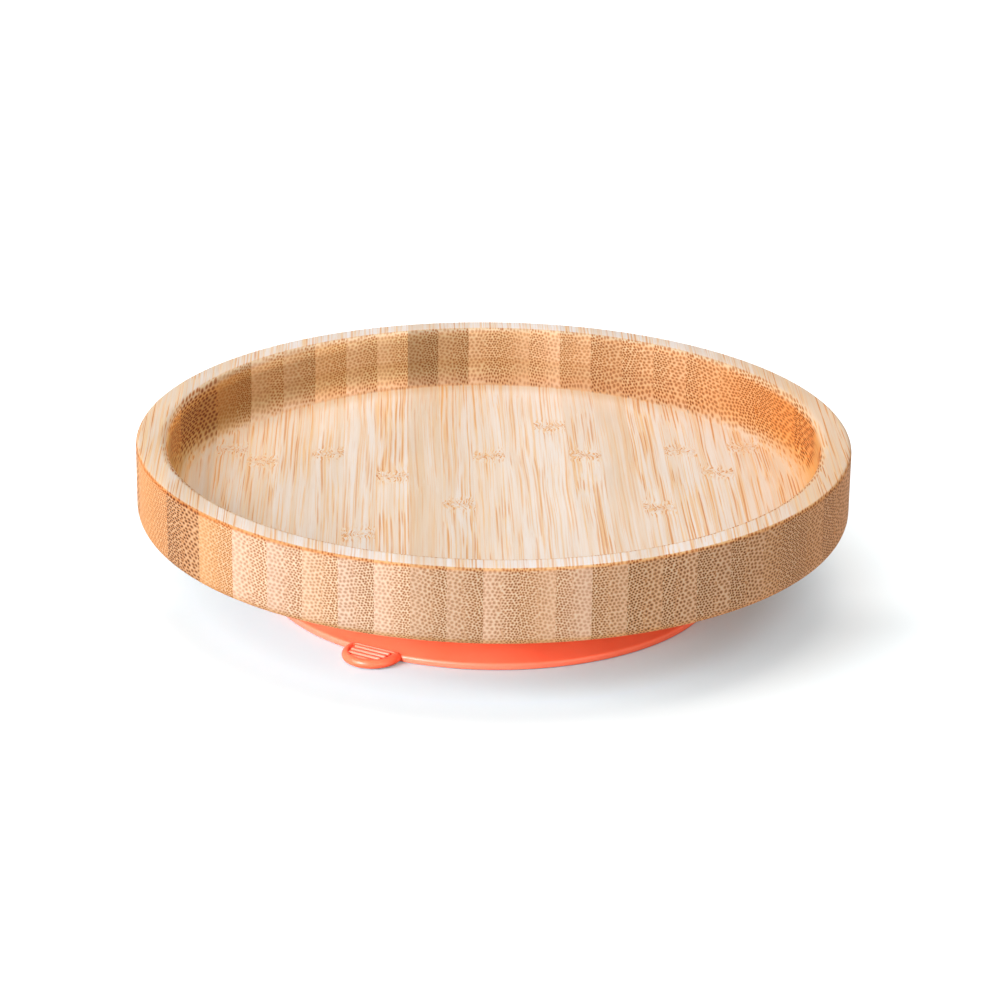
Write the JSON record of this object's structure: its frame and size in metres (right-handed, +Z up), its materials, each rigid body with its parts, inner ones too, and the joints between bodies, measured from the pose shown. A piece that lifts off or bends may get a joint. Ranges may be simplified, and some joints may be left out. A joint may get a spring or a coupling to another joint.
{
  "type": "suction bowl",
  "caption": "Shallow round bowl turned from laminated bamboo strips, standing on a removable silicone suction cup whose ribbed tab peels up to let go of the table.",
  "frame": {"origin": "centre of the resting plane, on the axis of the bowl", "axes": "+Z up along the bowl's axis; -Y is the front, towards the viewer; the bamboo's grain runs front to back, turned 1.8 degrees about Z; the pull tab is front left"},
  "size_m": [0.18, 0.18, 0.0396],
  "materials": {
    "bamboo_pale": "pale laminated bamboo, sanded and oiled, satin",
    "bamboo_honey": "honey laminated bamboo, sanded and oiled, satin",
    "bamboo_tan": "tan laminated bamboo, sanded and oiled, satin",
    "silicone_coral": "coral-orange food-grade silicone, smooth satin"
  },
  "bodies": {
    "suction_ring": {"suction_lip": "silicone_coral"},
    "cup": {"suction_cup": "silicone_coral"},
    "bowl": {"bamboo_strip_01": "bamboo_honey", "bamboo_strip_02": "bamboo_honey", "bamboo_strip_03": "bamboo_tan", "bamboo_strip_04": "bamboo_honey", "bamboo_strip_05": "bamboo_pale", "bamboo_strip_06": "bamboo_honey", "bamboo_strip_07": "bamboo_pale", "bamboo_strip_08": "bamboo_pale", "bamboo_strip_09": "bamboo_tan", "bamboo_strip_10": "bamboo_tan", "bamboo_strip_11": "bamboo_pale", "bamboo_strip_12": "bamboo_pale", "bamboo_strip_13": "bamboo_honey", "bamboo_strip_14": "bamboo_honey", "bamboo_strip_15": "bamboo_tan", "bamboo_strip_16": "bamboo_honey", "bamboo_strip_17": "bamboo_pale", "bamboo_strip_18": "bamboo_honey", "bamboo_strip_19": "bamboo_pale", "bamboo_strip_20": "bamboo_pale", "bamboo_strip_21": "bamboo_tan", "bamboo_strip_22": "bamboo_tan", "bamboo_strip_23": "bamboo_pale"},
    "tab": {"pull_tab": "silicone_coral"}
  },
  "joints": [
    {"name": "press_down", "type": "slide", "parent": "suction_ring", "child": "cup", "axis": [0, 0, 1], "range_m": [-0.0025, 0], "stiffness_N_per_m": 4000, "springref_m": 0.001},
    {"name": "bowl_lift", "type": "slide", "parent": "cup", "child": "bowl", "axis": [0, 0, 1], "range_m": [0, 0.04]},
    {"name": "tab_lift", "type": "hinge", "parent": "suction_ring", "child": "tab", "pos_m": [-0.02839, -0.0508, 0.0024], "axis": [-0.8729, 0.4879, 0], "range_deg": [0, 70]}
  ]
}
